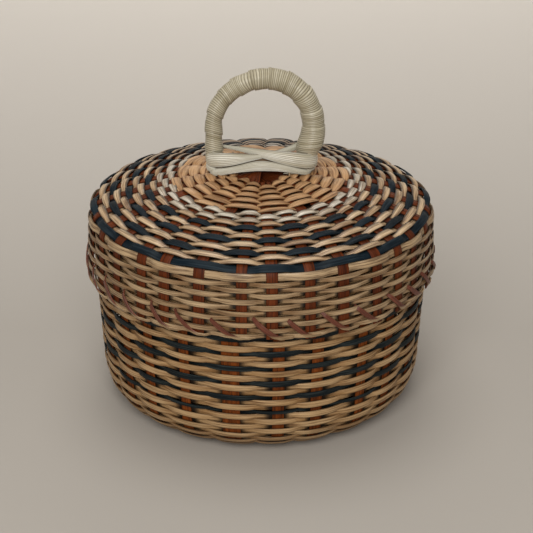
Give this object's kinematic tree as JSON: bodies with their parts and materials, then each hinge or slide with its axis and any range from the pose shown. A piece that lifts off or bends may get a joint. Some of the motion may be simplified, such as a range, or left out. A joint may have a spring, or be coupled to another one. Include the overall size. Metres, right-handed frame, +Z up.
{
  "type": "lidded woven basket",
  "caption": "Round splint basket with over-and-under woven wall and floor, a drop-over domed lid with slanting border straps, and an upright wrapped ring handle bound to the lid.",
  "frame": {"origin": "middle of the basket's footprint on the ground", "axes": "+Z up along the basket's axis, -Y the front, +X to the right seen from the front, the ring handle lies in the XZ plane"},
  "size_m": [0.1522, 0.1522, 0.1461],
  "materials": {
    "rust_splint": "dyed flat splint, dry fibrous grain",
    "tan_weaver": "bare split weaver, satin, fine lengthwise grain",
    "blue_weaver": "dark dyed weaver, matte",
    "cream_weaver": "bleached weaver, matte",
    "pale_cane": "round cane, satin",
    "straw_strip": "straw strip, soft fibrous"
  },
  "bodies": {
    "basket": {"base_splints": "rust_splint", "base_floor_hub_weavers": "tan_weaver", "base_floor_weavers": "tan_weaver", "base_foot_weavers": "tan_weaver", "base_blue_weaver_1": "blue_weaver", "base_blue_weaver_2": "blue_weaver", "base_blue_weaver_3": "blue_weaver", "base_blue_weaver_4": "blue_weaver", "base_blue_weaver_5": "blue_weaver", "base_blue_weaver_6": "blue_weaver", "base_tan_weavers_1": "tan_weaver", "base_tan_weavers_2": "tan_weaver", "base_tan_weavers_3": "tan_weaver", "base_tan_weavers_4": "tan_weaver", "base_tan_weavers_5": "tan_weaver", "base_neck_weavers": "tan_weaver", "base_rim_inner_hoop": "pale_cane", "base_rim_outer_hoop": "pale_cane", "base_rim_lashing": "straw_strip"},
    "lid": {"lid_splints": "rust_splint", "lid_hub_weavers": "tan_weaver", "lid_cream_weaver_1": "cream_weaver", "lid_cream_weaver_2": "cream_weaver", "lid_cream_weaver_3": "cream_weaver", "lid_blue_weaver_1": "blue_weaver", "lid_blue_weaver_2": "blue_weaver", "lid_blue_weaver_3": "blue_weaver", "lid_tan_weavers_1": "tan_weaver", "lid_tan_weavers_2": "tan_weaver", "lid_tan_weavers_3": "tan_weaver", "lid_tan_weavers_4": "tan_weaver", "lid_shoulder_blue_weaver": "blue_weaver", "lid_shoulder_tan_weaver": "tan_weaver", "lid_side_weavers": "tan_weaver", "lid_rim_weavers": "tan_weaver", "lid_rim_straps": "rust_splint", "handle_core": "pale_cane", "handle_wrap": "straw_strip", "handle_binding_band": "straw_strip", "handle_binding_rising_strap": "straw_strip", "handle_binding_falling_strap": "straw_strip", "handle_tie_left": "straw_strip", "handle_tie_right": "straw_strip"}
  },
  "joints": [
    {"name": "lid_lift", "type": "slide", "parent": "basket", "child": "lid", "axis": [0, 0, 1], "range_m": [0, 0.06]}
  ]
}
